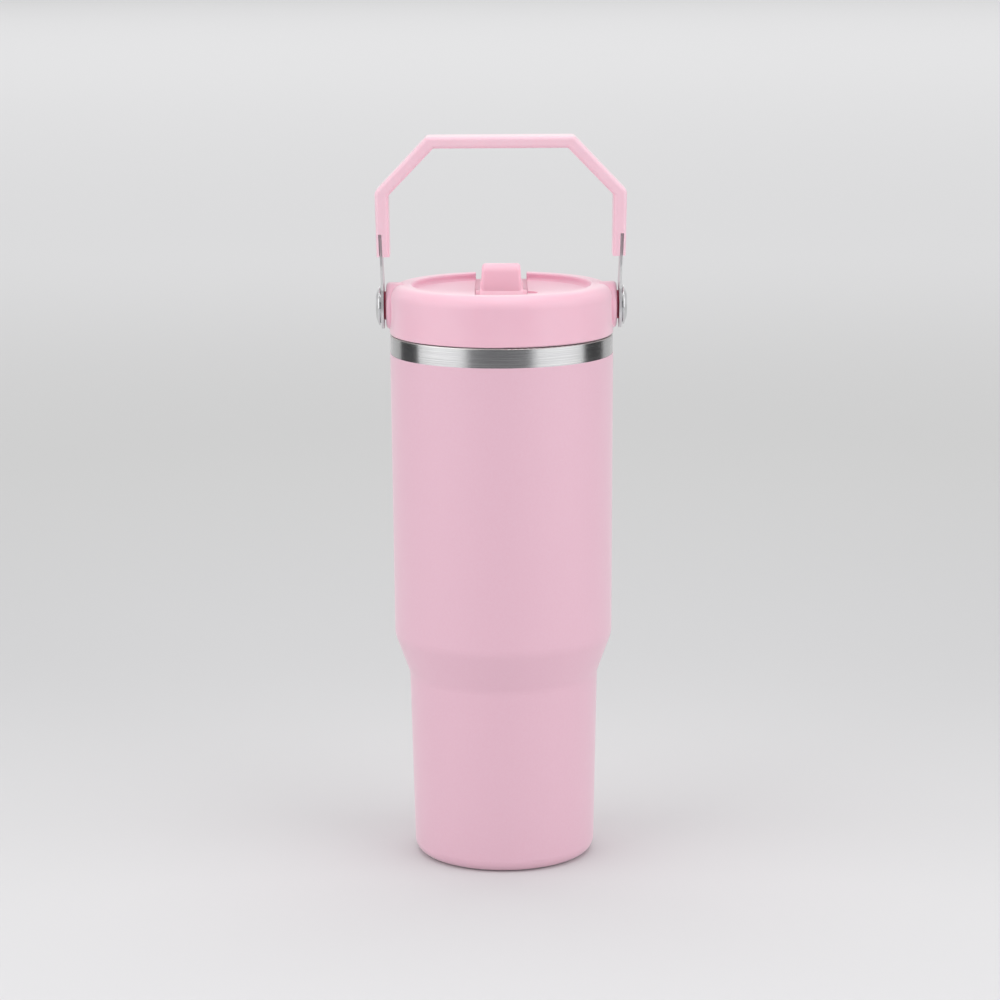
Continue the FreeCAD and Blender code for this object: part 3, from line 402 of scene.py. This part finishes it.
def paper_with_painted_shade():
    """Pale paper with painted shade: a shade greyer a metre behind the tumbler than near or
    far.
    """
    made, tree, shader = new_material("pale_paper_painted_shade", **FLAT)
    depth = add(tree, "ShaderNodeSeparateXYZ", {0: object_point(tree)}).outputs["Y"]
    along = add(tree, "ShaderNodeMapRange",
                {"Value": depth, "From Min": NEAR, "From Max": FAR})
    painted_shade_ramp = add(tree, "ShaderNodeValToRGB", {"Fac": along.outputs[0]})
    ramp = painted_shade_ramp.color_ramp
    ramp.interpolation = "EASE"
    for place, swatch in PAINTED_SHADES:
        ramp.elements.new((place - NEAR) / (FAR - NEAR)).color = linear(swatch)
    ramp.elements[0].color, ramp.elements[-1].color = linear(NEAR_PAINTED_SHADE), linear(FAR_PAINTED_SHADE)
    join(tree, shader, Base_Color=painted_shade_ramp.outputs["Color"])
    return made


stage_panel("floor", (FLOOR_WIDTH, FLOOR_WIDTH), (0, 0, 0), (0, 0, 1), paper_with_painted_shade())
print("floor is", FLOOR_WIDTH, "m wide")

# %% [markdown]
# ## The lights
# Bare steel mirrors what stands around it. Two large soft boxes stand in front of the
# tumbler, left and right, so the band mirrors two bright fields. A third hangs above, and
# a fourth lights the far paper. A lamp's energy is its brightness per area times pi times
# its area, so boxes of different sizes can be given one brightness.

# %% Soft boxes
def around(angle, distance, height):
    """A place at that angle from the camera's side, positive to the right."""
    turn = math.radians(angle)
    return Vector((math.sin(turn) * distance, -math.cos(turn) * distance, height))


def soft_box(name, place, size, radiance, target=(0, 0, 0.15), grid=180):
    """An area light of the given brightness per area, aimed at target.  A grid narrower
    than 180 degrees keeps its light off the floor at its own foot."""
    lamp = bpy.data.lights.new(name, "AREA")
    lamp.shape, lamp.size, lamp.size_y = "RECTANGLE", *size
    lamp.spread = math.radians(grid)
    lamp.energy = radiance * math.pi * size[0] * size[1]
    holder = bpy.data.objects.new(name, lamp)
    holder.location = place
    holder.rotation_euler = (Vector(target) - place).to_track_quat("-Z", "Y").to_euler()
    holder.visible_camera = False
    bpy.context.scene.collection.objects.link(holder)


BOX_DISTANCE, BOX_MIDDLE, BOX_HEIGHT = 1.2, 0.55, 1.3
BOX_RADIANCE, BOX_GRID = 0.92, 160
for name, angle, width in (("left_soft_box", -66.5, 1.47), ("right_soft_box", 63, 1.5)):
    soft_box(name, around(angle, BOX_DISTANCE, BOX_MIDDLE), (width, BOX_HEIGHT),
             BOX_RADIANCE, grid=BOX_GRID)
soft_box("top_soft_box", Vector((0, 0, 1.8)), (1.6, 1.6), radiance=1.1)
soft_box("backdrop_light", Vector((0, 7.0, 3.2)), (10.0, 8.0), radiance=0.45,
         target=(0, 7.0, 0))

# %% [markdown]
# Between the two bright fields the band is grey, and outside them it is nearly black. In
# a real studio, boards covered with felt, called flags, stand around the object, and the
# steel mirrors them there. These stand close, because the band is seen from slightly
# above and so it mirrors what is low: boards further off would show only floor.

# %% Flags
FLAG_DISTANCE, FLAG_MIDDLE, FLAG_HEIGHT = 0.95, 0.325, 0.85


def felt(name, swatch):
    """Matt felt of one colour."""
    made, _, shader = new_material(name, **FLAT)
    shader.inputs["Base Color"].default_value = linear(swatch)
    return made


grey_felt, black_felt = felt("grey_felt", "#828284"), felt("black_felt", "#262628")
for name, angle, width, cover in (("left_flag", -110, 0.55, black_felt),
                                  ("right_flag", 109, 0.58, black_felt),
                                  ("front_flag", -2, 1.15, grey_felt)):
    place = around(angle, FLAG_DISTANCE, FLAG_MIDDLE)
    flag = stage_panel(name, (width, FLAG_HEIGHT), place,
                       -Vector((place.x, place.y, 0)), cover)
    flag.visible_camera = False
    print(name, "at", angle, "degrees")

# %% [markdown]
# An even white sky fills the shade. The Standard view shows each colour as its swatch.

# %% Sky
world = bpy.data.worlds.new("soft_sky")
world.use_nodes = True
sky = world.node_tree.nodes["Background"]
sky.inputs["Color"].default_value = linear("#FFFFFF")
sky.inputs["Strength"].default_value = 0.74
bpy.context.scene.world = world
bpy.context.scene.view_settings.view_transform = "Standard"
print("sky strength", round(sky.inputs["Strength"].default_value, 2))

# %% [markdown]
# The camera stands a little over a metre away and looks slightly down. A long lens keeps
# the tall tumbler's sides nearly parallel.

# %% Camera
CAMERA_PLACE = (-1.06 * MM, -1218.4 * MM, 388.5 * MM)
LOOK_DOWN = 0.1954                 # radians below level
TILT = math.radians(-0.35)

camera = bpy.data.cameras.new("camera")
camera.lens, camera.sensor_width = 109.4, 36.0
tripod = bpy.data.objects.new("camera", camera)
tripod.matrix_world = (Matrix.Translation(CAMERA_PLACE)
                       @ Matrix.Rotation(math.pi / 2 - LOOK_DOWN, 4, "X")
                       @ Matrix.Rotation(TILT, 4, "Z"))
bpy.context.scene.collection.objects.link(tripod)
bpy.context.scene.camera = tripod
print("camera", [round(v, 3) for v in tripod.location])
